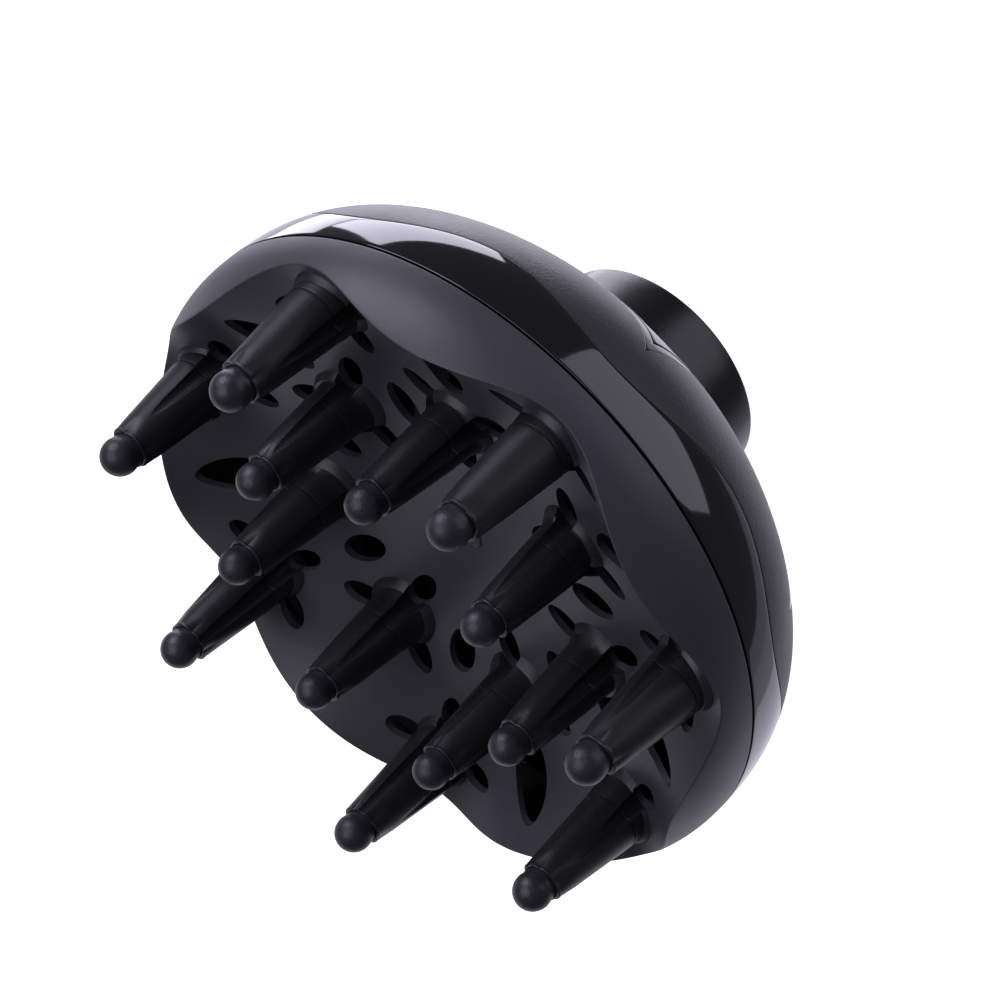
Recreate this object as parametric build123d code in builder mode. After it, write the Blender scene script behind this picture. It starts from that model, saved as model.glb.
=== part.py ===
"""Hair dryer diffuser: a vented dish with fourteen fingers on a round, hollow body.

Units are millimetres. +Z points out of the dish, along the fingers. The origin is the centre of
the collar's rear rim, so the diffuser stands on its collar. The first outer finger is on +X, and
the first inner finger is half a step round from it.
"""

import os
from math import cos, radians, sin, sqrt

from build123d import *

# ---------------------------------------------------------------- driving dimensions
LOBES = 7                  # lobes of the crest, outer fingers and inner fingers
STEP = 360 / LOBES         # degrees from one lobe to the next
SEAM_R = 75.0              # widest radius, at the seam between dish and housing
SEAM_Z = 65.3              # height of the seam above the collar's rim
SEAM_GAP = 0.5             # visible gap at the seam
FIT = 0.12                 # gap between neighbouring pieces

FRONT_ROUNDING = 3.3       # how fast the body curves in, ahead of the seam and behind it
REAR_ROUNDING = 1.9
ROUNDING_POWER = 2.5

DISH_WALL = 1.6            # thickness of the vented dish
DISH_TOP_Z = 82.3          # just above the highest point of the crest
RIM_WALL = 2.2             # thickness of the dish's outer rim
SKIRT_R = 71.8             # skirt of the dish, inside the housing
SKIRT_BOTTOM_Z = 58.0
SNAP_Z = 60.0              # snap bead on the skirt

SHELL_WALL = 2.2           # thickness of the housing
LINER_WALL = 1.6           # thickness of the rear cover's inner bowl
LINER_FRONT_Z = 47.0
BAND_DEPTH = 0.8           # how deep the grip band is let in
BAND_FRONT_Z = 54.35       # middle of the band's wavy front edge
BAND_WAVE = 2.7            # half the height of that wave

SCALLOP_RING_R = 122.0     # centres of the arcs that end the band and the housing
BAND_SCALLOP_R = 65.9
SHELL_SCALLOP_R = 68.2
GROOVE = 0.6               # width of the groove round the rear star

OUTER_RING_R = 62.3        # radius of the ring of outer fingers, at their tips
OUTER_LEAN = 1.0           # how much further out their feet stand
OUTER_JOINT_Z = 75.8       # where the finger meets its moulded foot
OUTER_END_Z = 97.2
OUTER_BALL_Z = 99.85
OUTER_ROOT_R = 6.9
OUTER_END_R = 4.8
OUTER_DISH_SLOPE = 0.28

INNER_RING_R = 37.2
INNER_JOINT_Z = 72.4
INNER_END_Z = 90.4
INNER_BALL_Z = 93.0
INNER_ROOT_R = 6.2
INNER_END_R = 4.5
INNER_DISH_SLOPE = 0.19

END_FLUTE_LENGTH = 4.5     # end of the finger, where it turns from round to five-lobed
END_NOTCH = 0.89           # radius of the notches there, as a share of the lobes
OUTER_BALL_R = 4.18
INNER_BALL_R = 3.96
SOCKET_DEPTH = 0.8         # how deep the ball's neck sits in the finger's end
PEG_R = 1.8
PEG_LENGTH = 9.0
SPIGOT_R = 3.1
SPIGOT_LENGTH = 6.0
FOOT_SPREAD = 0.4          # how much wider the foot is at the dish than at the joint
BOSS_R = 8.6               # low flange round the foot
BOSS_TOP_R = 7.2
BOSS_HEIGHT = 1.9

OUTER_PETALS = ((180, 9.95), (95, 10.05), (-95, 10.05))
OUTER_PETAL_SIZE = (4.6, 2.63)
INNER_PETALS = ((180, 10.0), (59, 10.0), (-59, 10.0))
INNER_PETAL_SIZE = (5.3, 2.78)
LENS_R = 56.45             # centres of the large lens vents
LENS_HALF_LENGTH = 9.4
LENS_HALF_WIDTH = 4.65
LENS_FULLNESS = 0.58       # 0.5 would be an ellipse, 1 a lens with sharp points
OVAL_R = 34.65             # centres of the oval vents
OVAL_SIZE = (6.0, 3.45)

COLLAR_BORE_R = 23.5       # takes a 46 to 47 mm nozzle
COLLAR_RIM_R = 26.0
COLLAR_NECK_R = 27.75
COLLAR_FLANGE_R = 33.1
COLLAR_FLANGE_Z = 20.7
COLLAR_FLANGE_T = 2.0
MOUTH_R = 28.0             # hole in the rear cover
SOCKET_R = 33.3            # socket inside it for the collar's flange
SOCKET_WALL = 1.8
SOCKET_TOP_Z = 27.0
STOP_R = 22.0              # inner edge of the ring that stops the nozzle

DEFLECTOR_R = 23.0
DEFLECTOR_TIP_Z = 45.5
DEFLECTOR_EDGE_Z = 50.5
DEFLECTOR_WALL = 1.6
POST_RING_R = 15.0
POST_R = 3.0
POST_END_Z = 53.0
SCREW_R = 1.1
SCREW_HEAD_R = 2.3
SCREW_HEAD_Z = 48.0
NUB_R = 2.7                # low button at the middle of the dish
NUB_HEIGHT = 0.6


# ---------------------------------------------------------------- shapes shared by the pieces
def body_radius(z):
    """Radius of the body's outer surface at height z."""
    share = abs(z - SEAM_Z) / SEAM_R
    rounding = FRONT_ROUNDING if z > SEAM_Z else REAR_ROUNDING
    return SEAM_R * (1 - rounding * share**ROUNDING_POWER)


def dish_height(r, angle):
    """Height of the dish's face: a shallow bowl that climbs steeply between the lobes."""
    share = r / SEAM_R
    climb = share**6.3 if share < 1 else 1 + 6.3 * (share - 1) / (1 + 3 * (share - 1))
    wave = 1 - cos(radians(LOBES * angle))
    return SEAM_Z + SEAM_R * (-0.056 + 0.17 * share**2 + 0.084 * climb * wave)


def dish_contour(z, angle):
    """Radius at which the dish's face reaches height z."""
    low = 0.0
    high = 2 * SEAM_R
    for _ in range(40):
        middle = (low + high) / 2
        if dish_height(middle, angle) < z:
            low = middle
        else:
            high = middle
    return low


def on_ring(ring_r, angle, z=0.0):
    return (ring_r * cos(radians(angle)), ring_r * sin(radians(angle)), z)


def body_outline(z_from, z_to, inset):
    """Points on the body's outline, moved inward by a wall thickness."""
    points = []
    for i in range(9):
        z = z_from + (z_to - z_from) * i / 8
        slope = (body_radius(z + 0.01) - body_radius(z - 0.01)) / 0.02
        length = sqrt(1 + slope**2)
        points.append((body_radius(z) - inset / length, z + inset * slope / length))
    return points


PROFILE_PLANE = Plane((0, 0, 0), x_dir=on_ring(1, 0.4 * STEP), z_dir=on_ring(1, 0.4 * STEP - 90))


def body_layer(z_from, z_to, inset, wall):
    """Revolved layer of the body, between two heights and two depths below its surface."""
    outer = body_outline(z_from, z_to, inset)
    inner = body_outline(z_from, z_to, inset + wall)
    with BuildPart(mode=Mode.PRIVATE) as layer:
        with BuildSketch(PROFILE_PLANE):
            with BuildLine():
                Spline(*outer)
                Line(outer[-1], inner[-1])
                Spline(*inner)
                Line(inner[0], outer[0])
            make_face()
        revolve(axis=Axis.Z)
    return layer.part


def solid_front(inset):
    """Body ahead of the seam as one solid, smaller all round by a wall, run straight on behind."""
    outline = body_outline(SEAM_Z, DISH_TOP_Z, inset)
    top_z = outline[-1][1]
    bottom_z = SEAM_Z - 10 - inset
    with BuildPart(mode=Mode.PRIVATE) as front:
        with BuildSketch(PROFILE_PLANE):
            with BuildLine():
                Spline(*outline)
                Polyline(outline[-1], (0, top_z), (0, bottom_z), (outline[0][0], bottom_z), outline[0])
            make_face()
        revolve(axis=Axis.Z)
    return front.part


def space_over_dish():
    """Everything above the dish's face, lofted through its level contours."""
    with BuildPart(mode=Mode.PRIVATE) as space:
        for share in (-0.0545, -0.045, -0.02, 0.02, 0.06, 0.09, 0.12, 0.15, 0.18, 0.21, 0.24):
            z = SEAM_Z + SEAM_R * share
            with BuildSketch(Plane.XY.offset(z)):
                with BuildLine():
                    angles = [STEP * (0.25 + i / 8) for i in range(8 * LOBES)]
                    Spline(*[on_ring(dish_contour(z, a), a)[:2] for a in angles], periodic=True)
                make_face()
        loft()
    return space.part


def scallops(arc_r):
    """Tall prism inside the seven arcs that bound the band and the housing at the rear."""
    with BuildPart(mode=Mode.PRIVATE) as prism:
        with BuildSketch(Plane.XY.offset(20)):
            with PolarLocations(SCALLOP_RING_R, LOBES, start_angle=STEP / 2):
                Circle(arc_r)
        extrude(amount=50)
    return prism.part


def behind_band_wave(shift):
    """Steep cone whose wavy flank cuts the body along the band's front edge."""
    angles = [STEP * (0.15 + i / 8) for i in range(8 * LOBES)]
    with BuildPart(mode=Mode.PRIVATE) as cone:
        for z in (28.0, 64.0):
            points = []
            for a in angles:
                edge_z = BAND_FRONT_Z + BAND_WAVE * cos(radians(LOBES * a)) - shift
                points.append(on_ring(body_radius(edge_z) + edge_z - z, a)[:2])
            with BuildSketch(Plane.XY.offset(z)):
                with BuildLine():
                    Spline(*points, periodic=True)
                make_face()
        loft()
    return cone.part


def band_layer(z_shift, depth_from, depth_to):
    """Layer that the grip band fills, or its recess in the housing."""
    layer = body_layer(29, 60, depth_from, depth_to - depth_from)
    return layer & scallops(BAND_SCALLOP_R - z_shift) & behind_band_wave(z_shift)


def petals(ring_r, places, size):
    """Tall prisms of the three petal vents round one finger's foot, on the +X side."""
    with BuildPart(mode=Mode.PRIVATE) as prisms:
        with BuildSketch(Plane.XY.offset(SEAM_Z - 10)):
            for direction, distance in places:
                x, y, _ = on_ring(distance, direction)
                with Locations(Location((ring_r + x, y, 0), (0, 0, direction))):
                    Ellipse(*size)
        extrude(amount=50)
    return prisms.part


def lens_and_oval():
    """Tall prisms of one large lens vent, half a step round, and one oval vent on +X."""
    side = []
    for i in range(9):
        share = cos(radians(180 * i / 8))
        side.append((LENS_R + LENS_HALF_LENGTH * share, LENS_HALF_WIDTH * (1 - share**2) ** LENS_FULLNESS))
    with BuildPart(mode=Mode.PRIVATE) as prisms:
        with BuildSketch(Plane.XY.offset(SEAM_Z - 10)):
            with Locations((OVAL_R, 0)):
                Ellipse(*OVAL_SIZE)
            with BuildSketch(mode=Mode.PRIVATE) as lens:
                with BuildLine():
                    Spline(*side)
                    Spline(*[(x, -y) for x, y in side])
                make_face()
            add(lens.sketch.rotate(Axis.Z, STEP / 2))
        extrude(amount=50)
    return prisms.part


def foot(ring_r, dish_z, joint_z, root_r, slope):
    """Moulded foot for one finger on +X, with its low flange, run on down through the dish."""
    flange_plane = Plane(origin=(ring_r, 0, dish_z), z_dir=(-slope, 0, 1))
    with BuildPart(mode=Mode.PRIVATE) as stub:
        with BuildSketch(flange_plane.offset(-4)):
            Circle(BOSS_R)
        with BuildSketch(flange_plane):
            Circle(BOSS_R)
        with BuildSketch(flange_plane.offset(BOSS_HEIGHT)):
            Circle(BOSS_TOP_R)
        loft(ruled=True)
        with BuildSketch(Plane.XY.offset(dish_z - 4)):
            with Locations((ring_r, 0)):
                Circle(root_r + FOOT_SPREAD)
        with BuildSketch(Plane.XY.offset(joint_z)):
            with Locations((ring_r, 0)):
                Circle(root_r)
        loft()
    return stub.part


def finger_end(ring_r, z, radius, notch, start):
    """Ring of five arcs with notches between them; round when notch equals radius."""
    with BuildSketch(Plane.XY.offset(z)) as ring:
        with BuildLine(Location((ring_r, 0, 0))):
            for i in range(5):
                a = start + 72 * i
                ThreePointArc(on_ring(notch, a), on_ring(radius, a + 36), on_ring(notch, a + 72))
        make_face()
    return ring.sketch


def finger(tip_ring_r, foot_ring_r, joint_z, end_z, ball_r, root_r, end_r, start, vents):
    """One finger on +X: a leaning taper with a spigot, flutes, a lobed end and the ball's socket."""
    neck_z = end_z - END_FLUTE_LENGTH
    share = (neck_z - joint_z) / (end_z - joint_z)
    neck_r = root_r + (end_r - root_r) * share
    neck_ring_r = foot_ring_r + (tip_ring_r - foot_ring_r) * share
    with BuildPart(mode=Mode.PRIVATE) as body:
        with BuildSketch(Plane.XY.offset(joint_z + FIT)):
            with Locations((foot_ring_r, 0)):
                Circle(root_r)
        with BuildSketch(Plane.XY.offset(neck_z)):
            with Locations((neck_ring_r, 0)):
                Circle(neck_r)
        loft()
        neck = finger_end(neck_ring_r, neck_z, neck_r, neck_r, start)
        end = finger_end(tip_ring_r, end_z, end_r, end_r * END_NOTCH, start)
        loft([neck, end])
        add(vents, mode=Mode.SUBTRACT)
        with Locations((foot_ring_r, 0, joint_z + FIT)):
            Cylinder(SPIGOT_R, SPIGOT_LENGTH, align=(Align.CENTER, Align.CENTER, Align.MAX))
        with BuildSketch(Plane.XY.offset(end_z)):
            with Locations((tip_ring_r, 0)):
                Circle(socket_radius(ball_r))
        extrude(amount=-SOCKET_DEPTH, mode=Mode.SUBTRACT)
        with BuildSketch(Plane.XY.offset(end_z)):
            with Locations((tip_ring_r, 0)):
                Circle(PEG_R + FIT)
        extrude(amount=-PEG_LENGTH, mode=Mode.SUBTRACT)
    return body.part


def ball_tip(ring_r, end_z, ball_z, ball_r):
    """Ball with a short neck that fills the finger's end, and the peg that holds it there."""
    neck_bottom_z = end_z - SOCKET_DEPTH + FIT / 2
    with BuildPart(mode=Mode.PRIVATE) as tip:
        with Locations((ring_r, 0, ball_z)):
            Sphere(ball_r)
        split(bisect_by=Plane.XY.offset(neck_bottom_z), keep=Keep.TOP)
        with BuildSketch(Plane.XY.offset(neck_bottom_z)):
            with Locations((ring_r, 0)):
                Circle(socket_radius(ball_r) - FIT / 2)
        extrude(amount=ball_z - neck_bottom_z)
        with BuildSketch(Plane.XY.offset(end_z - PEG_LENGTH + 0.5)):
            with Locations((ring_r, 0)):
                Circle(PEG_R)
        extrude(amount=PEG_LENGTH - 0.5)
    return tip.part


def socket_radius(ball_r):
    """Radius of the socket in a finger's end, a little less than its ball's."""
    return ball_r - 0.1


def around(shape, start_angle):
    """Seven copies of a shape on +X, one lobe apart."""
    return [shape.rotate(Axis.Z, start_angle + STEP * i) for i in range(LOBES)]


def save(shape, name):
    shape.label = name
    export_step(shape, "parts/" + name + ".step")


os.makedirs("parts", exist_ok=True)

# ---------------------------------------------------------------- front dish
outer_foot_r = OUTER_RING_R + OUTER_LEAN
outer_petals = petals(outer_foot_r, OUTER_PETALS, OUTER_PETAL_SIZE)
inner_petals = petals(INNER_RING_R, INNER_PETALS, INNER_PETAL_SIZE)
over_dish = space_over_dish()
under_dish = solid_front(RIM_WALL) - over_dish.moved(Location((0, 0, -DISH_WALL)))
outer_dish_z = dish_height(outer_foot_r, 0)
outer_foot = foot(outer_foot_r, outer_dish_z, OUTER_JOINT_Z, OUTER_ROOT_R, OUTER_DISH_SLOPE)
inner_dish_z = dish_height(INNER_RING_R, STEP / 2)
inner_foot = foot(INNER_RING_R, inner_dish_z, INNER_JOINT_Z, INNER_ROOT_R, INNER_DISH_SLOPE)

with BuildPart() as feet:
    add(around(outer_foot, 0))
    add(around(inner_foot, STEP / 2))
    add(over_dish.moved(Location((0, 0, -DISH_WALL / 2))), mode=Mode.INTERSECT)

with BuildPart() as front_dish:
    add(solid_front(0))
    add(over_dish, mode=Mode.SUBTRACT)
    add(under_dish, mode=Mode.SUBTRACT)
    with BuildSketch(Plane.XY.offset(SEAM_Z + SEAM_GAP / 2)):
        Circle(SEAM_R + 5)
        Circle(SKIRT_R - 3, mode=Mode.SUBTRACT)
    extrude(amount=-20, mode=Mode.SUBTRACT)
    add(feet.part)
    add(around(outer_petals, 0), mode=Mode.SUBTRACT)
    add(around(inner_petals, STEP / 2), mode=Mode.SUBTRACT)
    add(around(lens_and_oval(), 0), mode=Mode.SUBTRACT)
    with BuildSketch(Plane.XZ):
        with BuildLine():
            Polyline(
                (SKIRT_R - 1.4, SKIRT_BOTTOM_Z),
                (SKIRT_R - 0.3, SKIRT_BOTTOM_Z),
                (SKIRT_R, SKIRT_BOTTOM_Z + 1),
                (SKIRT_R, SNAP_Z - 0.5),
                (SKIRT_R + 0.45, SNAP_Z),
                (SKIRT_R, SNAP_Z + 0.5),
                (SKIRT_R, SEAM_Z + SEAM_GAP / 2),
                (SEAM_R - RIM_WALL + 0.8, SEAM_Z + SEAM_GAP / 2),
                (SEAM_R - RIM_WALL + 0.8, SEAM_Z + 2.5),
                (SKIRT_R - 1.4, SEAM_Z + 1.5),
                close=True,
            )
        make_face()
    revolve(axis=Axis.Z)
    spigot_rings = ((outer_foot_r, OUTER_JOINT_Z, 0), (INNER_RING_R, INNER_JOINT_Z, STEP / 2))
    for ring_r, joint_z, start in spigot_rings:
        with BuildSketch(Plane.XY.offset(joint_z)):
            with PolarLocations(ring_r, LOBES, start_angle=start):
                Circle(SPIGOT_R + FIT)
        extrude(amount=-SPIGOT_LENGTH - 0.3, mode=Mode.SUBTRACT)
    with BuildSketch(Plane.XY.offset(POST_END_Z)):
        with PolarLocations(POST_RING_R, 3, start_angle=30):
            Circle(POST_R)
            Circle(SCREW_R + 0.05, mode=Mode.SUBTRACT)
    extrude(amount=dish_height(POST_RING_R, 0) - DISH_WALL / 2 - POST_END_Z)
    nub_z = dish_height(0, 0)
    with BuildSketch(Plane.XY.offset(nub_z - 0.5)):
        Circle(NUB_R)
    extrude(amount=NUB_HEIGHT + 0.5)
    nub_edge = front_dish.edges().filter_by(GeomType.CIRCLE).filter_by_position(
        Axis.Z, nub_z + NUB_HEIGHT - 0.01, nub_z + NUB_HEIGHT + 0.01
    )
    fillet(nub_edge, NUB_HEIGHT - 0.15)
save(front_dish.part, "front_dish")

# ---------------------------------------------------------------- fingers and their ball tips
outer_finger = finger(
    OUTER_RING_R,
    outer_foot_r,
    OUTER_JOINT_Z,
    OUTER_END_Z,
    OUTER_BALL_R,
    OUTER_ROOT_R,
    OUTER_END_R,
    0,
    outer_petals,
)
inner_finger = finger(
    INNER_RING_R,
    INNER_RING_R,
    INNER_JOINT_Z,
    INNER_END_Z,
    INNER_BALL_R,
    INNER_ROOT_R,
    INNER_END_R,
    36,
    inner_petals,
)
for i, piece in enumerate(around(outer_finger, 0)):
    save(piece, f"finger_outer_{i + 1}")
for i, piece in enumerate(around(inner_finger, STEP / 2)):
    save(piece, f"finger_inner_{i + 1}")
outer_tip = ball_tip(OUTER_RING_R, OUTER_END_Z, OUTER_BALL_Z, OUTER_BALL_R)
inner_tip = ball_tip(INNER_RING_R, INNER_END_Z, INNER_BALL_Z, INNER_BALL_R)
for i, piece in enumerate(around(outer_tip, 0)):
    save(piece, f"tip_outer_{i + 1}")
for i, piece in enumerate(around(inner_tip, STEP / 2)):
    save(piece, f"tip_inner_{i + 1}")

# ---------------------------------------------------------------- housing
with BuildPart() as main_shell:
    add(body_layer(27, SEAM_Z - SEAM_GAP / 2, 0, SHELL_WALL))
    add(scallops(SHELL_SCALLOP_R - GROOVE / 2), mode=Mode.INTERSECT)
    add(band_layer(0, -1, BAND_DEPTH), mode=Mode.SUBTRACT)
    with BuildSketch(Plane.XZ):
        catch_r = body_radius(SNAP_Z + 1.5) - SHELL_WALL
        with Locations((catch_r, SNAP_Z + 1.5)):
            Rectangle(1.0, 0.8)
        ledge_r = body_radius(LINER_FRONT_Z + 3.3) - SHELL_WALL
        with Locations((ledge_r, LINER_FRONT_Z + 3.3)):
            Rectangle(2.0, 1.2)
    revolve(axis=Axis.Z)
save(main_shell.part, "main_shell")

with BuildPart() as grip_band:
    add(band_layer(FIT, 0, BAND_DEPTH - FIT))
save(grip_band.part, "grip_band")

with BuildPart() as rear_cover:
    add(body_layer(16.4, LINER_FRONT_Z, 0, SHELL_WALL + FIT + LINER_WALL))
    housing_space = body_layer(25, 60, -2, SHELL_WALL + FIT + 2)
    add(housing_space & scallops(SHELL_SCALLOP_R + GROOVE / 2), mode=Mode.SUBTRACT)
    with BuildSketch(Plane.XY.offset(COLLAR_FLANGE_Z - 0.1)):
        Circle(SOCKET_R + SOCKET_WALL)
        Circle(MOUTH_R, mode=Mode.SUBTRACT)
    extrude(amount=SOCKET_TOP_Z - COLLAR_FLANGE_Z)
    with BuildSketch(Plane.XY.offset(COLLAR_FLANGE_Z - 0.1)):
        Circle(SOCKET_R)
    extrude(amount=20, mode=Mode.SUBTRACT)
    with BuildSketch():
        Circle(MOUTH_R)
    extrude(amount=40, mode=Mode.SUBTRACT)
save(rear_cover.part, "rear_cover")

# ---------------------------------------------------------------- collar, its ring, deflector
with BuildPart() as nozzle_collar:
    flange_top_z = COLLAR_FLANGE_Z + COLLAR_FLANGE_T
    with BuildSketch(Plane.XZ):
        with BuildLine():
            Polyline(
                (COLLAR_BORE_R + 0.6, 0),
                (COLLAR_RIM_R - 0.8, 0),
                (COLLAR_RIM_R, 0.8),
                (COLLAR_RIM_R + 0.8, 14),
                (COLLAR_NECK_R, COLLAR_FLANGE_Z),
                (COLLAR_FLANGE_R, COLLAR_FLANGE_Z),
                (COLLAR_FLANGE_R, flange_top_z),
                (COLLAR_BORE_R, flange_top_z),
                (COLLAR_BORE_R, 0.6),
                close=True,
            )
        make_face()
    revolve(axis=Axis.Z)
save(nozzle_collar.part, "nozzle_collar")

with BuildPart() as collar_ring:
    with BuildSketch(Plane.XY.offset(flange_top_z + 0.05)):
        Circle(COLLAR_FLANGE_R)
        Circle(STOP_R, mode=Mode.SUBTRACT)
    extrude(amount=2.4)
    chamfer(collar_ring.edges().filter_by(GeomType.CIRCLE), 0.4)
save(collar_ring.part, "collar_ring")

with BuildPart() as air_deflector:
    with BuildSketch(Plane.XZ):
        with BuildLine():
            Polyline(
                (0, DEFLECTOR_TIP_Z),
                (3, DEFLECTOR_TIP_Z),
                (DEFLECTOR_R, DEFLECTOR_EDGE_Z),
                (DEFLECTOR_R, DEFLECTOR_EDGE_Z + DEFLECTOR_WALL),
                (3, DEFLECTOR_TIP_Z + DEFLECTOR_WALL),
                (0, DEFLECTOR_TIP_Z + DEFLECTOR_WALL),
                close=True,
            )
        make_face()
    revolve(axis=Axis.Z)
    with BuildSketch(Plane.XY.offset(SCREW_HEAD_Z + 0.05)):
        with PolarLocations(POST_RING_R, 3, start_angle=30):
            Circle(POST_R + 0.6)
    extrude(amount=POST_END_Z - 0.1 - SCREW_HEAD_Z)
    with BuildSketch(Plane.XY.offset(SCREW_HEAD_Z - 5)):
        with PolarLocations(POST_RING_R, 3, start_angle=30):
            Circle(SCREW_HEAD_R + 0.2)
    extrude(amount=5.05, mode=Mode.SUBTRACT)
    with BuildSketch(Plane.XY.offset(SCREW_HEAD_Z)):
        with PolarLocations(POST_RING_R, 3, start_angle=30):
            Circle(SCREW_R + 0.2)
    extrude(amount=10, mode=Mode.SUBTRACT)
save(air_deflector.part, "air_deflector")

with BuildPart() as deflector_screws:
    with BuildSketch(Plane.XY.offset(SCREW_HEAD_Z)):
        with PolarLocations(POST_RING_R, 3, start_angle=30):
            Circle(SCREW_R)
    extrude(amount=9)
    with BuildSketch(Plane.XY.offset(SCREW_HEAD_Z - 1.5)):
        with PolarLocations(POST_RING_R, 3, start_angle=30):
            Circle(SCREW_HEAD_R)
    extrude(amount=1.5)
save(deflector_screws.part, "deflector_screws")
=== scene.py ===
"""Dryer diffuser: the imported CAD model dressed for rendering.

Shapes are worked out in millimetres, as in the CAD, and become meshes in metres. The origin is
the middle of the collar's rim, +Z points along the fingers, and the first outer finger is on +X.
"""

from collections import namedtuple
from math import cos, hypot, pi, radians, sin, sqrt

import bpy
import numpy as np
from mathutils import Matrix, Vector


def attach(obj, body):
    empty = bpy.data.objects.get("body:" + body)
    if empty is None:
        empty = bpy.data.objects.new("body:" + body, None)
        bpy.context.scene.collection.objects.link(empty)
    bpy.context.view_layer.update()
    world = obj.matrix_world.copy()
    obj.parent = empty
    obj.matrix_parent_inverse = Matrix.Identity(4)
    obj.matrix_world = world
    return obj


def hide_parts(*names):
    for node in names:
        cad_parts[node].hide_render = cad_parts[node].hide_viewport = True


MM = 0.001
LOBES = 7                  # lobes of the crest, outer fingers and inner fingers
STEP = 2 * pi / LOBES
RING = 560                 # vertices round the body, eighty to a lobe
SMOOTH_ANGLE = 32          # degrees; edges sharper than this stay sharp

# the dish's rim, the housing and the rear cover lie on one turned body
SEAM_R = 75.0              # widest radius, at the seam between dish and housing
SEAM_Z = 65.3
SEAM_GAP = 0.5
FRONT_ROUNDING = 3.3       # how fast the body curves in, ahead of the seam and behind it
REAR_ROUNDING = 1.9
ROUNDING_POWER = 2.5
SLOPE_STEP = 0.01          # half the span over which the body's slope is taken
MAX_TRIM = 0.4             # most of an edge, as a share, that rounding a corner may use up

# the dish, its first three values as shares of SEAM_R
DISH_DIP = 0.056           # depth at the middle, below the seam
DISH_BOWL = 0.17           # rise of the bowl to the rim
CREST_WAVE = 0.084         # half the height of the wave at the rim
WAVE_POWER = 6.3           # how steeply the wave grows towards the rim
DISH_WALL = 1.6
DISH_TOP_Z = SEAM_Z + 17   # above the highest point of the crest
RIM_WALL = 2.2
SKIRT_R = 71.8
SKIRT_INNER_R = 70.4
SKIRT_BOTTOM_Z = 58.0
SKIRT_ROOT_Z = 67.0
RIM_LEDGE_Z = 67.6

# vents; a size is half the length and half the width
OVAL_R = 34.65
OVAL_SIZE = (6.0, 3.45)
LENS_R = 56.45
LENS_HALF_LENGTH = 9.4
LENS_HALF_WIDTH = 4.65
LENS_FULLNESS = 0.58       # 0.5 would be an ellipse, 1 a lens with sharp points
LENS_POINTS = 48
ELLIPSE_POINTS = 40
CUTTER_BOTTOM_Z = 56.0
CUTTER_TOP_Z = 90.0
NEAR_VENT = 20.0           # vents further from a foot than this can't cut it

# feet, fingers and ball tips
FOOT_POINTS = 160
FINGER_POINTS = 180
BALL_POINTS = 72
FLANGE = ((8.5, -1.2), (8.6, 0.05), (8.45, 0.25), (7.45, 1.75), (7.15, 1.95))   # radius, height on the dish
STUB_START = 3.2           # height of the stub's first ring above the dish
FOOT_SPREAD = 0.3
FOOT_EDGE = ((0.0, -0.14), (0.03, -0.05), (0.12, 0.0))       # inset, height from the joint
FOOT_FLAT_R = 3.3
FIT = 0.12                 # gap between a foot and its finger
SPIGOT = ((0.05, -6.0), (2.9, -6.0), (3.1, -5.8), (3.1, 0.02))  # radius, height from the finger's bottom
ROOT_EDGE = ((0.0, 0.12), (0.05, 0.03), (0.14, 0.0))         # height from the finger's bottom, inset
# rounded lip at the finger's end: height from the end, inset
END_LIP = ((-0.45, -0.01), (-0.34, -0.06), (-0.2, -0.07), (-0.08, -0.03), (-0.02, 0.04), (0.0, 0.12))
TAPER_STOP = 0.8           # how far below the end the plain taper stops
END_LOBE_LENGTH = 5.0      # end of the finger, where it turns from round to five-lobed
NOTCH_DEPTH = 0.11         # of the notches there, as a share of the radius
SOCKET_GAP = 0.1
SOCKET_DEPTH = 0.8
PEG_HOLE_R = 1.9
PEG_HOLE_DEPTH = 9.0
PEG_R = 1.8
PEG_LENGTH = 8.5
NECK_STEP = 0.32           # how much slimmer the neck is than the ball
NECK_BOTTOM = 0.74

# housing, grip band and rear cover; the arcs that end them are centred on one ring
SCALLOP_RING_R = 122.0
BAND_SCALLOP_R = 65.9
SHELL_SCALLOP_R = 67.9
STAR_SCALLOP_R = 68.5
BAND_FRONT_Z = 54.35       # middle of the band's wavy front edge
BAND_WAVE = 2.7            # half the height of that wave
RECESS_DEPTH = 0.8
BAND_THICKNESS = 0.68
BAND_GAP = 0.14
SHELL_WALL = 2.2
COVER_INSET = 2.32         # outside of the cover's inner bowl, and its inside
LINER_INSET = 3.92
LINER_FRONT_Z = 47.0
LINER_ROOT_Z = 23.0
MOUTH_R = 28.0
SOCKET_R = 33.3            # socket for the collar's flange
SOCKET_OUTER_R = 35.1
SOCKET_FLOOR_Z = 20.6
SOCKET_ROOT_Z = 23.2
SOCKET_TOP_Z = 26.9

# nozzle collar
BORE_R = 23.5
COLLAR_RIM_R = 26.0
COLLAR_WAIST = (26.8, 14.0)
COLLAR_NECK_R = 27.75
FLANGE_R = 33.1
FLANGE_Z = 20.7
FLANGE_TOP_Z = 22.7

FingerRing = namedtuple(
    "FingerRing",
    "foot_r tip_r joint_z root_r end_z end_r ball_z ball_r dish_slope notch_turn petals petal_size",
)
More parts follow.
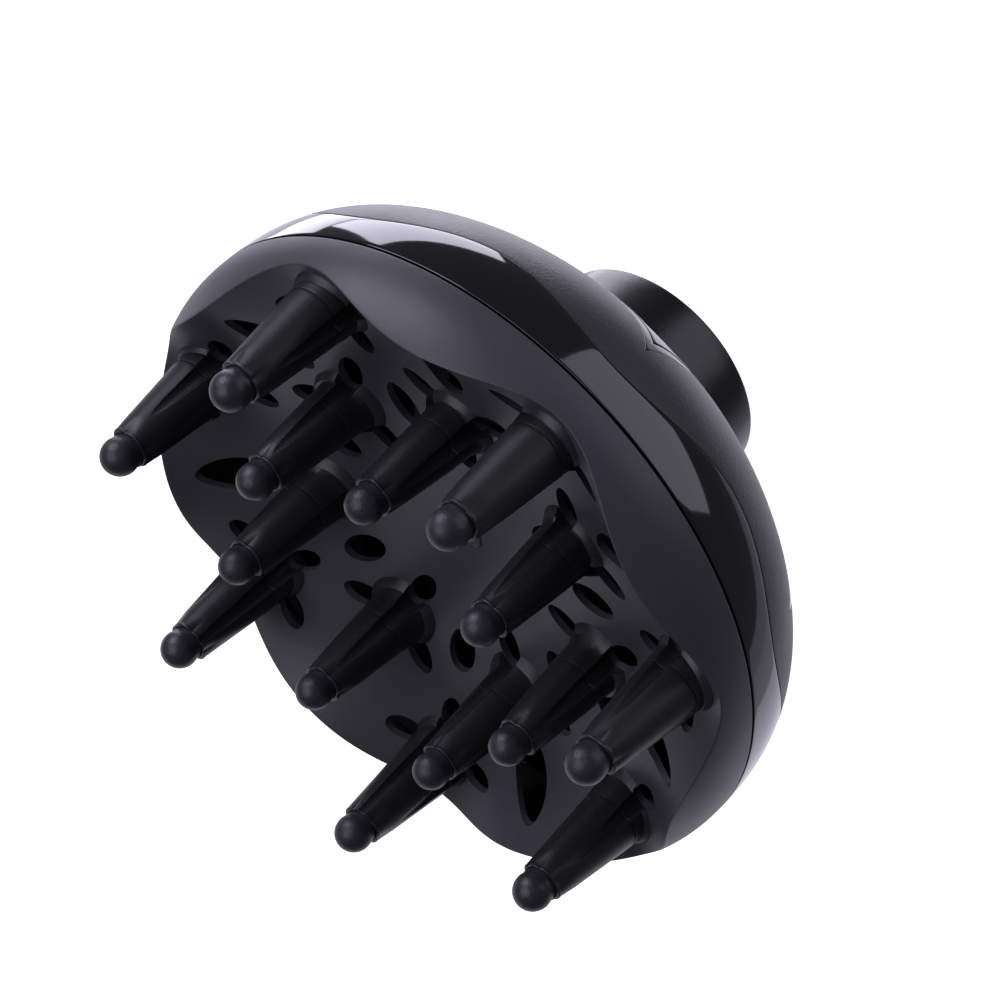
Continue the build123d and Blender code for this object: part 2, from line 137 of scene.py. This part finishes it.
# petals are the vents round a foot: degrees from straight outward, distance from the foot's middle
OUTER = FingerRing(
    foot_r=63.3,
    tip_r=62.3,
    joint_z=75.8,
    root_r=6.9,
    end_z=97.2,
    end_r=4.8,
    ball_z=99.85,
    ball_r=4.18,
    dish_slope=0.28,
    notch_turn=0.0,
    petals=((180, 9.95), (95, 10.05), (-95, 10.05)),
    petal_size=(4.6, 2.63),
)
INNER = FingerRing(
    foot_r=37.2,
    tip_r=37.2,
    joint_z=72.4,
    root_r=6.2,
    end_z=90.4,
    end_r=4.5,
    ball_z=93.0,
    ball_r=3.96,
    dish_slope=0.19,
    notch_turn=pi / 5,
    petals=((180, 10.0), (59, 10.0), (-59, 10.0)),
    petal_size=(5.3, 2.78),
)


# ------------------------------------------------------------ camera, before anything else
def placed(right, up, back, place):
    """Matrix of a camera or lamp at place, looking against back."""
    return Matrix(
        (
            (right.x, up.x, back.x, place.x),
            (right.y, up.y, back.y, place.y),
            (right.z, up.z, back.z, place.z),
            (0, 0, 0, 1),
        )
    )


def add_camera():
    """Camera at the photograph's viewing angle; returns its directions."""
    azimuth = radians(-54.92)
    elevation = radians(30.963)
    roll = radians(-131.942)
    distance = 0.67523
    aim = Vector((0.004945, -0.004651, 0.054219))
    back = Vector((cos(elevation) * cos(azimuth), cos(elevation) * sin(azimuth), sin(elevation)))
    level = Vector((0, 0, 1)).cross(back).normalized()
    upright = back.cross(level)
    right = level * cos(roll) + upright * sin(roll)
    up = upright * cos(roll) - level * sin(roll)
    data = bpy.data.cameras.new("camera")
    data.sensor_fit = "HORIZONTAL"
    data.sensor_width = 36.0
    data.lens = 118.94
    data.clip_start = 0.01
    data.clip_end = 50.0
    camera = bpy.data.objects.new("camera", data)
    place = Vector([aim[i] + distance * back[i] for i in range(3)])
    camera.matrix_world = placed(right, up, back, place)
    bpy.context.scene.collection.objects.link(camera)
    bpy.context.scene.camera = camera
    return right, up, back


VIEW_RIGHT, VIEW_UP, VIEW_BACK = add_camera()
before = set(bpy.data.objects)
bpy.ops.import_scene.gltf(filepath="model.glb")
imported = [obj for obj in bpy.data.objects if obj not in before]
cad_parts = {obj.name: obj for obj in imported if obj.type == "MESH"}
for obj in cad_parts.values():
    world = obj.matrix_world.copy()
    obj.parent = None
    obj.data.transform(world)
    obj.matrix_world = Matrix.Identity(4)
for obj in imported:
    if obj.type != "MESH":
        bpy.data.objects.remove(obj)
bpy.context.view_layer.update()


# ------------------------------------------------------------ shapes shared by the pieces
def body_radius(z):
    share = abs(z - SEAM_Z) / SEAM_R
    rounding = FRONT_ROUNDING if z > SEAM_Z else REAR_ROUNDING
    return SEAM_R * (1 - rounding * share**ROUNDING_POWER)


def body_height(r):
    """Height of the body behind the seam at radius r."""
    return SEAM_Z - SEAM_R * (max(0.0, 1 - r / SEAM_R) / REAR_ROUNDING) ** (1 / ROUNDING_POWER)


def body_point(z, inset):
    """Point on the body's outline at height z, moved inward by inset."""
    slope = (body_radius(z + SLOPE_STEP) - body_radius(z - SLOPE_STEP)) / (2 * SLOPE_STEP)
    length = sqrt(1 + slope**2)
    return (body_radius(z) - inset / length, z + inset * slope / length)


def body_edge(z_from, z_to, inset):
    return lambda t: body_point(z_from + (z_to - z_from) * t, inset)


def straight(start, end):
    return lambda t: (start[0] + (end[0] - start[0]) * t, start[1] + (end[1] - start[1]) * t)


def dish_height(r, angle):
    """Height of the dish's face: a bowl, and a wave that keeps growing up to the rim."""
    share = r / SEAM_R
    past = share - 1
    climb = share**WAVE_POWER if share < 1 else 1 + WAVE_POWER * past / (1 + 3 * past)
    wave = CREST_WAVE * climb * (1 - cos(LOBES * angle))
    return SEAM_Z + SEAM_R * (-DISH_DIP + DISH_BOWL * share**2 + wave)


def crest_height(angle):
    """Height at which the dish's face meets the rim's outer surface."""
    low, high = SEAM_Z, DISH_TOP_Z
    for _ in range(30):
        z = (low + high) / 2
        if dish_height(body_radius(z), angle) > z:
            low = z
        else:
            high = z
    return low


def scallop_radius(arc_r, angle):
    """Distance from the axis to the arc that ends the band, the housing or the star at this angle."""
    turn = (angle / STEP) % 1.0 - 0.5
    delta = turn * STEP
    return SCALLOP_RING_R * cos(delta) - sqrt(arc_r**2 - (SCALLOP_RING_R * sin(delta)) ** 2)


def loop(edges, bevel=0.25, closed=True):
    """Points along a chain of edges, each (function, count), with its corners rounded."""
    points = []
    count = len(edges)
    spans = [max(1e-6, hypot(f(1)[0] - f(0)[0], f(1)[1] - f(0)[1])) for f, _ in edges]
    for i, (f, n) in enumerate(edges):
        trim = min(MAX_TRIM, bevel / spans[i])
        first = trim if closed or i > 0 else 0.0
        last = 1 - trim if closed or i < count - 1 else 1.0
        for k in range(n):
            points.append(f(first + (last - first) * k / (n - 1)))
        if not closed and i == count - 1:
            continue
        g = edges[(i + 1) % count][0]
        next_trim = min(MAX_TRIM, bevel / spans[(i + 1) % count])
        a, b, c = f(last), f(1), g(next_trim)
        for t in (0.25, 0.5, 0.75):
            points.append(
                tuple(a[j] * (1 - t) ** 2 + 2 * b[j] * t * (1 - t) + c[j] * t * t for j in (0, 1))
            )
    return points


def mesh_object(name, vertices, faces, material, smooth_angle=SMOOTH_ANGLE):
    mesh = bpy.data.meshes.new(name)
    mesh.from_pydata([tuple(c * MM for c in v) for v in vertices], [], faces)
    mesh.validate()
    mesh.materials.append(material)
    obj = bpy.data.objects.new(name, mesh)
    bpy.context.scene.collection.objects.link(obj)
    mesh.shade_smooth()
    mesh.set_sharp_from_angle(angle=radians(smooth_angle))
    return obj


def turned(name, profile, material, n=RING, smooth_angle=SMOOTH_ANGLE):
    """Closed ring of profiles round the axis; profile(angle) always has the same number of points."""
    rows = [profile(2 * pi * i / n) for i in range(n)]
    m = len(rows[0])
    vertices = []
    for i, row in enumerate(rows):
        a = 2 * pi * i / n
        vertices += [(r * cos(a), r * sin(a), z) for r, z in row]
    faces = []
    for i in range(n):
        j = (i + 1) % n
        for k in range(m):
            after = (k + 1) % m
            faces.append((i * m + k, i * m + after, j * m + after, j * m + k))
    return mesh_object(name, vertices, faces, material, smooth_angle)


def capped(name, rows, material, smooth_angle=SMOOTH_ANGLE):
    """Solid through a stack of closed rings, with a pole at each end."""
    n = len(rows[0])
    vertices = [v for row in rows for v in row]
    faces = []
    for k in range(len(rows) - 1):
        for i in range(n):
            j = (i + 1) % n
            faces.append((k * n + i, k * n + j, (k + 1) * n + j, (k + 1) * n + i))
    for row, flip in ((0, True), (len(rows) - 1, False)):
        centre = len(vertices)
        ring = rows[row]
        vertices.append(tuple(sum(v[c] for v in ring) / n for c in range(3)))
        for i in range(n):
            j = (i + 1) % n
            face = (row * n + i, row * n + j, centre)
            faces.append(face[::-1] if flip else face)
    return mesh_object(name, vertices, faces, material, smooth_angle)


def dress(obj, slot, *nodes):
    """Show obj in place of these CAD nodes."""
    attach(obj, "root")
    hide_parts(*nodes)
    return obj


# ------------------------------------------------------------ materials
def plastic(
    name, color, roughness, grain, grain_size, coat=0.0, speckle=0.0, patch=0.04, sheen=0.0
):
    """Moulded plastic with a fine grain, slight patches of wear and, where asked, a speckle."""
    material = bpy.data.materials.new(name)
    material.use_nodes = True
    nodes = material.node_tree.nodes
    links = material.node_tree.links
    shader = nodes["Principled BSDF"]
    coords = nodes.new("ShaderNodeTexCoord")
    fine = nodes.new("ShaderNodeTexNoise")
    fine.inputs["Scale"].default_value = grain_size
    fine.inputs["Detail"].default_value = 3.0
    broad = nodes.new("ShaderNodeTexNoise")
    broad.inputs["Scale"].default_value = 45.0
    broad.inputs["Detail"].default_value = 4.0
    links.new(coords.outputs["Object"], fine.inputs["Vector"])
    links.new(coords.outputs["Object"], broad.inputs["Vector"])
    tint = nodes.new("ShaderNodeMix")
    tint.data_type = "RGBA"
    tint.inputs["A"].default_value = (*[c * (1 - speckle) for c in color], 1)
    tint.inputs["B"].default_value = (*[c * (1 + 1.6 * speckle) for c in color], 1)
    links.new(fine.outputs["Fac"], tint.inputs["Factor"])
    links.new(tint.outputs["Result"], shader.inputs["Base Color"])
    rough = nodes.new("ShaderNodeMapRange")
    rough.inputs["From Min"].default_value = 0.3
    rough.inputs["From Max"].default_value = 0.7
    rough.inputs["To Min"].default_value = roughness - patch
    rough.inputs["To Max"].default_value = roughness + patch
    links.new(broad.outputs["Fac"], rough.inputs["Value"])
    links.new(rough.outputs["Result"], shader.inputs["Roughness"])
    bump = nodes.new("ShaderNodeBump")
    bump.inputs["Strength"].default_value = grain
    bump.inputs["Distance"].default_value = 0.0001
    links.new(fine.outputs["Fac"], bump.inputs["Height"])
    links.new(bump.outputs["Normal"], shader.inputs["Normal"])
    shader.inputs["IOR"].default_value = 1.5
    shader.inputs["Coat Weight"].default_value = coat
    shader.inputs["Coat Roughness"].default_value = 0.03
    shader.inputs["Sheen Weight"].default_value = sheen
    shader.inputs["Sheen Roughness"].default_value = 0.35
    return material


dish_black = plastic("dish_plastic", (0.048, 0.046, 0.055), 0.42, 0.35, 2600)
finger_black = plastic("finger_plastic", (0.014, 0.0135, 0.0155), 0.38, 0.4, 2600)
tip_black = plastic("tip_plastic", (0.019, 0.018, 0.024), 0.42, 0.8, 1500, speckle=0.25)
shell_black = plastic("shell_plastic", (0.0035, 0.0035, 0.005), 0.07, 0.02, 900, coat=0.5, patch=0.015)
band_black = plastic("band_plastic", (0.009, 0.0087, 0.011), 0.46, 1.0, 1500, speckle=0.6, sheen=0.3)
collar_black = plastic("collar_plastic", (0.004, 0.004, 0.005), 0.25, 0.3, 2400)
inner_black = plastic("inner_plastic", (0.05, 0.05, 0.055), 0.5, 0.3, 2000)


# ------------------------------------------------------------ vents
def vent_ellipses():
    """Every round-ended vent as (x, y, half length, half width, direction)."""
    vents = []
    for k in range(LOBES):
        outer, inner = k * STEP, (k + 0.5) * STEP
        vents.append((OVAL_R * cos(outer), OVAL_R * sin(outer), *OVAL_SIZE, outer))
        for ring, base in ((OUTER, outer), (INNER, inner)):
            for degrees_out, distance in ring.petals:
                direction = base + radians(degrees_out)
                x = ring.foot_r * cos(base) + distance * cos(direction)
                y = ring.foot_r * sin(base) + distance * sin(direction)
                vents.append((x, y, *ring.petal_size, direction))
    return vents


VENTS = vent_ellipses()


def lens_outline(angle):
    """Large vent between an ellipse and a pointed lens, its long axis radial."""
    points = []
    for i in range(LENS_POINTS):
        share = cos(2 * pi * i / LENS_POINTS)
        side = 1 if i < LENS_POINTS / 2 else -1
        x = LENS_R + LENS_HALF_LENGTH * share
        y = side * LENS_HALF_WIDTH * max(0.0, 1 - share**2) ** LENS_FULLNESS
        points.append((x * cos(angle) - y * sin(angle), x * sin(angle) + y * cos(angle)))
    return points


def vent_cutters():
    """One mesh of tall prisms, one for each vent."""
    outlines = []
    for x, y, a, b, direction in VENTS:
        c, s = cos(direction), sin(direction)
        ring = []
        for i in range(ELLIPSE_POINTS):
            u, v = a * cos(2 * pi * i / ELLIPSE_POINTS), b * sin(2 * pi * i / ELLIPSE_POINTS)
            ring.append((x + u * c - v * s, y + u * s + v * c))
        outlines.append(ring)
    for k in range(LOBES):
        outlines.append(lens_outline((k + 0.5) * STEP))
    vertices, faces = [], []
    for ring in outlines:
        base = len(vertices)
        n = len(ring)
        for z in (CUTTER_BOTTOM_Z, CUTTER_TOP_Z):
            vertices += [(x, y, z) for x, y in ring]
        faces.append(tuple(base + i for i in reversed(range(n))))
        faces.append(tuple(base + n + i for i in range(n)))
        for i in range(n):
            j = (i + 1) % n
            faces.append((base + i, base + j, base + n + j, base + n + i))
    return mesh_object("vent_cutters", vertices, faces, dish_black)


def fluted_radius(centre, angle, radius, grow=0.03):
    """Radius of a round foot or finger in this direction, cut back by the vents round it."""
    dx, dy = cos(angle), sin(angle)
    best = radius
    for x, y, a, b, direction in VENTS:
        ox, oy = centre[0] - x, centre[1] - y
        if ox * ox + oy * oy > NEAR_VENT**2:
            continue
        c, s = cos(direction), sin(direction)
        px, py = (ox * c + oy * s) / (a + grow), (-ox * s + oy * c) / (b + grow)
        qx, qy = (dx * c + dy * s) / (a + grow), (-dx * s + dy * c) / (b + grow)
        # the line from the centre meets the vent's edge where qa t^2 + qb t + qc = 0
        qa, qb, qc = qx * qx + qy * qy, 2 * (px * qx + py * qy), px * px + py * py - 1
        root = qb * qb - 4 * qa * qc
        if root > 0 and qc > 0:
            hit = (-qb - sqrt(root)) / (2 * qa)
            if 0 < hit < best:
                best = hit
    return best


def ring_points(centre, z, radius_of, n):
    """Closed ring round centre; z is a height or a function of direction and radius."""
    ring = []
    for i in range(n):
        a = 2 * pi * i / n
        r = radius_of(a)
        ring.append((centre[0] + r * cos(a), centre[1] + r * sin(a), z(a, r) if callable(z) else z))
    return ring


# ------------------------------------------------------------ front dish
def dish_profile(angle):
    """Section of the dish from its middle out along the face, round the rim and back underneath."""
    crest_z = crest_height(angle)
    crest_r = body_radius(crest_z)
    bottom_z = SEAM_Z + SEAM_GAP / 2
    inner_z = crest_z
    for _ in range(40):
        r, z = body_point(inner_z, RIM_WALL)
        if z > dish_height(r, angle) - DISH_WALL:
            inner_z -= 0.25
    corner_r, corner_z = body_point(inner_z, RIM_WALL)
    ledge_z = min(RIM_LEDGE_Z, corner_z - 1)

    def face(t):
        r = crest_r * (0.97 + 0.03 * t)
        return (r, dish_height(r, angle))

    top = [
        (crest_r * t, dish_height(crest_r * t, angle))
        for t in np.linspace(0.0, 1.0, 72)[1:]
        if t < 0.965
    ]
    edges = [
        (face, 4),
        (body_edge(crest_z, bottom_z, 0), 26),
        (straight(body_point(bottom_z, 0), (SKIRT_R, bottom_z)), 3),
        (straight((SKIRT_R, bottom_z), (SKIRT_R, SKIRT_BOTTOM_Z)), 3),
        (straight((SKIRT_R, SKIRT_BOTTOM_Z), (SKIRT_INNER_R, SKIRT_BOTTOM_Z)), 2),
        (straight((SKIRT_INNER_R, SKIRT_BOTTOM_Z), (SKIRT_INNER_R, SKIRT_ROOT_Z)), 3),
        (straight((SKIRT_INNER_R, SKIRT_ROOT_Z), (corner_r, ledge_z)), 2),
        (straight((corner_r, ledge_z), (corner_r, corner_z)), 4),
    ]
    under = [
        (corner_r * t, dish_height(corner_r * t, angle) - DISH_WALL)
        for t in np.linspace(1.0, 0.0, 60)[1:-1]
    ]
    return top + loop(edges, bevel=0.3, closed=False) + under


def build_dish():
    """The dish with its rim and skirt, and the vents cut through."""
    rows = [dish_profile(2 * pi * i / RING) for i in range(RING)]
    m = min(len(row) for row in rows)
    if any(len(row) != m for row in rows):
        raise RuntimeError("the dish's profiles differ in length")
    vertices, faces = [], []
    for i, row in enumerate(rows):
        a = 2 * pi * i / RING
        vertices += [(r * cos(a), r * sin(a), z) for r, z in row]
    for i in range(RING):
        j = (i + 1) % RING
        for k in range(m - 1):
            faces.append((i * m + k, j * m + k, j * m + k + 1, i * m + k + 1))
    top, bottom = len(vertices), len(vertices) + 1
    vertices += [(0, 0, dish_height(0, 0)), (0, 0, dish_height(0, 0) - DISH_WALL)]
    for i in range(RING):
        j = (i + 1) % RING
        faces.append((i * m, top, j * m))
        faces.append((i * m + m - 1, j * m + m - 1, bottom))
    dish = mesh_object("dish", vertices, faces, dish_black)
    cutters = vent_cutters()
    cut = dish.modifiers.new("vents", "BOOLEAN")
    cut.operation = "DIFFERENCE"
    cut.solver = "EXACT"
    cut.object = cutters
    graph = bpy.context.evaluated_depsgraph_get()
    mesh = bpy.data.meshes.new_from_object(dish.evaluated_get(graph))
    dish.modifiers.clear()
    dish.data = mesh
    bpy.data.objects.remove(cutters)
    mesh.shade_smooth()
    mesh.set_sharp_from_angle(angle=radians(SMOOTH_ANGLE))
    return dish


def build_nub():
    """Low button at the middle of the dish."""
    z = dish_height(0, 0)
    profile = ((2.9, -0.6), (2.9, 0.05), (2.75, 0.3), (2.45, 0.48), (2.0, 0.57), (1.2, 0.6))
    rows = [ring_points((0, 0), z + height, lambda a: r, 64) for r, height in profile]
    return capped("nub", rows, dish_black)


def build_foot(name, ring, base):
    """Low flange and stub for one finger, fluted by the vents round it."""
    centre = (ring.foot_r * cos(base), ring.foot_r * sin(base))
    foot_z = dish_height(ring.foot_r, base)
    rows = []

    def tilted(height):
        def z(a, r):
            run = r * (cos(a) * cos(base) + sin(a) * sin(base))
            return foot_z + ring.dish_slope * run + height
        return z

    def add_ring(z, radius, inset=0.0):
        rows.append(
            ring_points(centre, z, lambda a: fluted_radius(centre, a, radius) - inset, FOOT_POINTS)
        )

    for radius, height in FLANGE:
        add_ring(tilted(height), radius)
    start_z = foot_z + STUB_START
    for t in (0.0, 0.3, 0.6, 0.9):
        z = start_z + (ring.joint_z - 0.3 - start_z) * t
        add_ring(z, ring.root_r + FOOT_SPREAD * (1 - t))
    for inset, height in FOOT_EDGE:
        add_ring(ring.joint_z + height, ring.root_r, inset)
    rows.append(ring_points(centre, ring.joint_z, lambda a: FOOT_FLAT_R, FOOT_POINTS))
    return capped(name, rows, finger_black)


# ------------------------------------------------------------ fingers and ball tips
def pentafoil(angle, radius, notch):
    """Radius of a ring of five arcs; angle 0 is a notch."""
    turn = angle % (2 * pi / 5) - pi / 5
    if radius - notch < 1e-6:
        return radius
    c = (radius**2 - notch**2) / (2 * (radius - notch * cos(pi / 5)))
    arc = radius - c
    return c * cos(turn) + sqrt(max(0.0, arc**2 - (c * sin(turn)) ** 2))


def build_finger(name, ring, base):
    """Finger from its spigot up to the socket for the ball: round, fluted, five-lobed at its end."""
    end_z = ring.end_z
    bottom = ring.joint_z + FIT
    taper_start = ROOT_EDGE[-1][0]
    levels = [(bottom + height, inset) for height, inset in ROOT_EDGE]
    for t in np.linspace(0.03, 1, 44):
        levels.append((bottom + taper_start + (end_z - TAPER_STOP - bottom) * t, 0.0))
    levels += [(end_z + height, inset) for height, inset in END_LIP]

    rows = []
    centre = (ring.foot_r * cos(base), ring.foot_r * sin(base))
    for radius, height in SPIGOT:
        rows.append(ring_points(centre, bottom + height, lambda a: radius, FINGER_POINTS))
    for z, inset in levels:
        share = (z - bottom) / (end_z - bottom)
        ring_r = ring.foot_r + (ring.tip_r - ring.foot_r) * share
        centre = (ring_r * cos(base), ring_r * sin(base))
        radius = ring.root_r + (ring.end_r - ring.root_r) * share
        lobed = min(1.0, max(0.0, 1 - (end_z - z) / END_LOBE_LENGTH))
        lobed = lobed * lobed * (3 - 2 * lobed)
        notch = radius * (1 - NOTCH_DEPTH * lobed)

        def outside(a):
            lobes = pentafoil(a - base - ring.notch_turn, radius, notch)
            return min(lobes, fluted_radius(centre, a, radius)) - inset

        rows.append(ring_points(centre, z, outside, FINGER_POINTS))
    centre = (ring.tip_r * cos(base), ring.tip_r * sin(base))
    socket_r = ring.ball_r - SOCKET_GAP
    floor_z = end_z - SOCKET_DEPTH
    hole_z = end_z - PEG_HOLE_DEPTH
    for radius, z in ((socket_r, end_z), (socket_r, floor_z), (PEG_HOLE_R, floor_z), (PEG_HOLE_R, hole_z)):
        rows.append(ring_points(centre, z, lambda a: radius, FINGER_POINTS))
    return capped(name, rows, finger_black, smooth_angle=28)


def build_ball(name, ring, base):
    """Ball, the neck that fills the finger's end, and its peg."""
    centre = (ring.tip_r * cos(base), ring.tip_r * sin(base))
    radius, end_z = ring.ball_r, ring.end_z
    neck_r = radius - NECK_STEP
    neck_z = end_z - NECK_BOTTOM
    profile = [
        (0.05, end_z - PEG_LENGTH),
        (1.7, end_z - PEG_LENGTH),
        (PEG_R, end_z - 8.4),
        (PEG_R, neck_z),
        (neck_r, neck_z),
        (neck_r, end_z),
        (neck_r + 0.04, end_z + 0.7),
        (neck_r + 0.17, end_z + 1.5),
    ]
    for i in range(30):
        t = radians(-14 + 104 * i / 30)
        profile.append((radius * cos(t), ring.ball_z + radius * sin(t)))
    rows = [ring_points(centre, z, lambda a: r, BALL_POINTS) for r, z in profile]
    return capped(name, rows, tip_black)


# ------------------------------------------------------------ housing
def band_front(angle):
    """Height of the wave between the glossy front of the housing and the grip band."""
    return BAND_FRONT_Z + BAND_WAVE * cos(LOBES * angle)


def shell_profile(angle):
    seam_z = SEAM_Z - SEAM_GAP / 2
    wave_z = band_front(angle)
    band_z = body_height(scallop_radius(BAND_SCALLOP_R, angle))
    end_z = body_height(scallop_radius(SHELL_SCALLOP_R, angle))
    edges = [
        (body_edge(seam_z, wave_z, 0), 12),
        (straight(body_point(wave_z, 0), body_point(wave_z, RECESS_DEPTH)), 2),
        (body_edge(wave_z, band_z, RECESS_DEPTH), 8),
        (straight(body_point(band_z, RECESS_DEPTH), body_point(band_z, 0)), 2),
        (body_edge(band_z, end_z, 0), 4),
        (straight(body_point(end_z, 0), body_point(end_z, SHELL_WALL)), 3),
        (body_edge(end_z, seam_z, SHELL_WALL), 16),
        (straight(body_point(seam_z, SHELL_WALL), body_point(seam_z, 0)), 3),
    ]
    return loop(edges, bevel=0.22)


def band_profile(angle):
    front_z = band_front(angle) - BAND_GAP
    rear_z = body_height(scallop_radius(BAND_SCALLOP_R, angle)) + BAND_GAP
    edges = [
        (body_edge(front_z, rear_z, 0.0), 24),
        (straight(body_point(rear_z, 0.0), body_point(rear_z, BAND_THICKNESS)), 2),
        (body_edge(rear_z, front_z, BAND_THICKNESS), 8),
        (straight(body_point(front_z, BAND_THICKNESS), body_point(front_z, 0.0)), 2),
    ]
    return loop(edges, bevel=0.2)


def cover_profile(angle):
    """Rear cover: the star outside, the mouth and socket for the collar, and the inner bowl."""
    star_z = body_height(scallop_radius(STAR_SCALLOP_R, angle))
    mouth_z = body_height(MOUTH_R)
    mouth_top = (MOUTH_R, SOCKET_FLOOR_Z)
    seat = (SOCKET_R, SOCKET_FLOOR_Z)
    lip_in = (SOCKET_R, SOCKET_TOP_Z)
    lip_out = (SOCKET_OUTER_R, SOCKET_TOP_Z)
    foot = (SOCKET_OUTER_R, SOCKET_ROOT_Z)
    bowl_in = body_point(LINER_FRONT_Z, LINER_INSET)
    bowl_out = body_point(LINER_FRONT_Z, COVER_INSET)
    edges = [
        (body_edge(star_z, mouth_z, 0), 26),
        (straight((MOUTH_R, mouth_z), mouth_top), 3),
        (straight(mouth_top, seat), 3),
        (straight(seat, lip_in), 3),
        (straight(lip_in, lip_out), 2),
        (straight(lip_out, foot), 2),
        (straight(foot, body_point(LINER_ROOT_Z, LINER_INSET)), 2),
        (body_edge(LINER_ROOT_Z, LINER_FRONT_Z, LINER_INSET), 16),
        (straight(bowl_in, bowl_out), 2),
        (body_edge(LINER_FRONT_Z, star_z, COVER_INSET), 12),
        (straight(body_point(star_z, COVER_INSET), body_point(star_z, 0)), 3),
    ]
    return loop(edges, bevel=0.22)


def collar_profile(_):
    corners = [
        (BORE_R, 0.0),
        (COLLAR_RIM_R, 0.0),
        COLLAR_WAIST,
        (COLLAR_NECK_R, FLANGE_Z),
        (FLANGE_R, FLANGE_Z),
        (FLANGE_R, FLANGE_TOP_Z),
        (BORE_R, FLANGE_TOP_Z),
    ]
    count = len(corners)
    edges = [(straight(corners[i], corners[(i + 1) % count]), 5) for i in range(count)]
    return loop(edges, bevel=0.6)


# ------------------------------------------------------------ put it together
dish = build_dish()
nub = build_nub()
feet = []
for k in range(LOBES):
    number = str(k + 1)
    places = (
        (OUTER, k * STEP, "outer_" + number),
        (INNER, (k + 0.5) * STEP, "inner_" + number),
    )
    for ring, base, ending in places:
        feet.append(build_foot("foot_" + ending, ring, base))
    for ring, base, ending in places:
        piece = build_finger("seen_finger_" + ending, ring, base)
        dress(piece, "finger_plastic", "finger_" + ending)
    for ring, base, ending in places:
        piece = build_ball("seen_tip_" + ending, ring, base)
        dress(piece, "tip_plastic", "tip_" + ending)
dress(dish, "dish_plastic", "front_dish")
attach(nub, "root")
for piece in feet:
    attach(piece, "root")

dress(turned("seen_main_shell", shell_profile, shell_black, smooth_angle=40), "shell_plastic", "main_shell")
dress(turned("seen_grip_band", band_profile, band_black, smooth_angle=40), "band_plastic", "grip_band")
dress(turned("seen_rear_cover", cover_profile, shell_black, smooth_angle=40), "shell_plastic", "rear_cover")
dress(turned("seen_nozzle_collar", collar_profile, collar_black, n=240), "collar_plastic", "nozzle_collar")

for node in ("collar_ring", "air_deflector", "deflector_screws"):
    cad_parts[node].data.materials.clear()
    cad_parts[node].data.materials.append(inner_black)

# ------------------------------------------------------------ floor and light
paper = bpy.data.materials.new("paper")
paper.use_nodes = True
paper_shader = paper.node_tree.nodes["Principled BSDF"]
paper_shader.inputs["Base Color"].default_value = (0.9, 0.9, 0.9, 1)
paper_shader.inputs["Roughness"].default_value = 0.9
paper_shader.inputs["Emission Color"].default_value = (1, 1, 1, 1)
paper_shader.inputs["Emission Strength"].default_value = 1.0
floor_mesh = bpy.data.meshes.new("floor")
floor_mesh.from_pydata([(-8, -8, 0), (8, -8, 0), (8, 8, 0), (-8, 8, 0)], [], [(0, 1, 2, 3)])
floor_mesh.materials.append(paper)
floor = bpy.data.objects.new("floor", floor_mesh)
bpy.context.scene.collection.objects.link(floor)
floor.visible_glossy = False
floor.visible_diffuse = False
floor.visible_shadow = False

world = bpy.data.worlds.new("studio")
world.use_nodes = True
world.node_tree.nodes["Background"].inputs["Color"].default_value = (0.87, 0.85, 1.0, 1)
world.node_tree.nodes["Background"].inputs["Strength"].default_value = 0.13
bpy.context.scene.world = world


def softbox(name, right, up, back, size, radiance, toward=None, color=(0.87, 0.845, 1.0)):
    """Area light placed in metres along the camera's directions, facing the object or against toward."""
    target = Vector((0, 0, 0.06))
    place = target + VIEW_RIGHT * right + VIEW_UP * up + VIEW_BACK * back
    data = bpy.data.lights.new(name, "AREA")
    data.shape = "RECTANGLE"
    data.size = size[0]
    data.size_y = size[1]
    data.color = color
    data.energy = radiance * pi * size[0] * size[1]
    light = bpy.data.objects.new(name, data)
    toward = toward or (place - target).normalized()
    side = VIEW_UP.cross(toward).normalized()
    light.matrix_world = placed(side, toward.cross(side), toward, place)
    light.visible_camera = False
    bpy.context.scene.collection.objects.link(light)


softbox("backdrop_near", -0.1, -0.42, -0.9, (2.4, 1.9), 0.8, toward=-VIEW_BACK)
softbox("backdrop_middle", 0.1, -0.42, -0.9, (3.4, 2.3), 0.4, toward=-VIEW_BACK)
softbox("backdrop_wide", 0.3, -0.45, -0.9, (4.8, 2.6), 0.3, toward=-VIEW_BACK)
softbox("top", -0.04, 0.84, -0.5, (0.5, 0.42), 4.2)
softbox("rear_top", -0.04, 0.61, -0.8, (0.7, 0.32), 3.0)
softbox("side", 0.79, 0.53, 0.35, (0.64, 0.86), 1.2)
softbox("key", -0.57, 0.74, 0.35, (0.6, 0.6), 5.0)
softbox("left", -0.80, -0.05, 0.85, (0.9, 0.9), 2.2)

bpy.context.scene.view_settings.view_transform = "Standard"
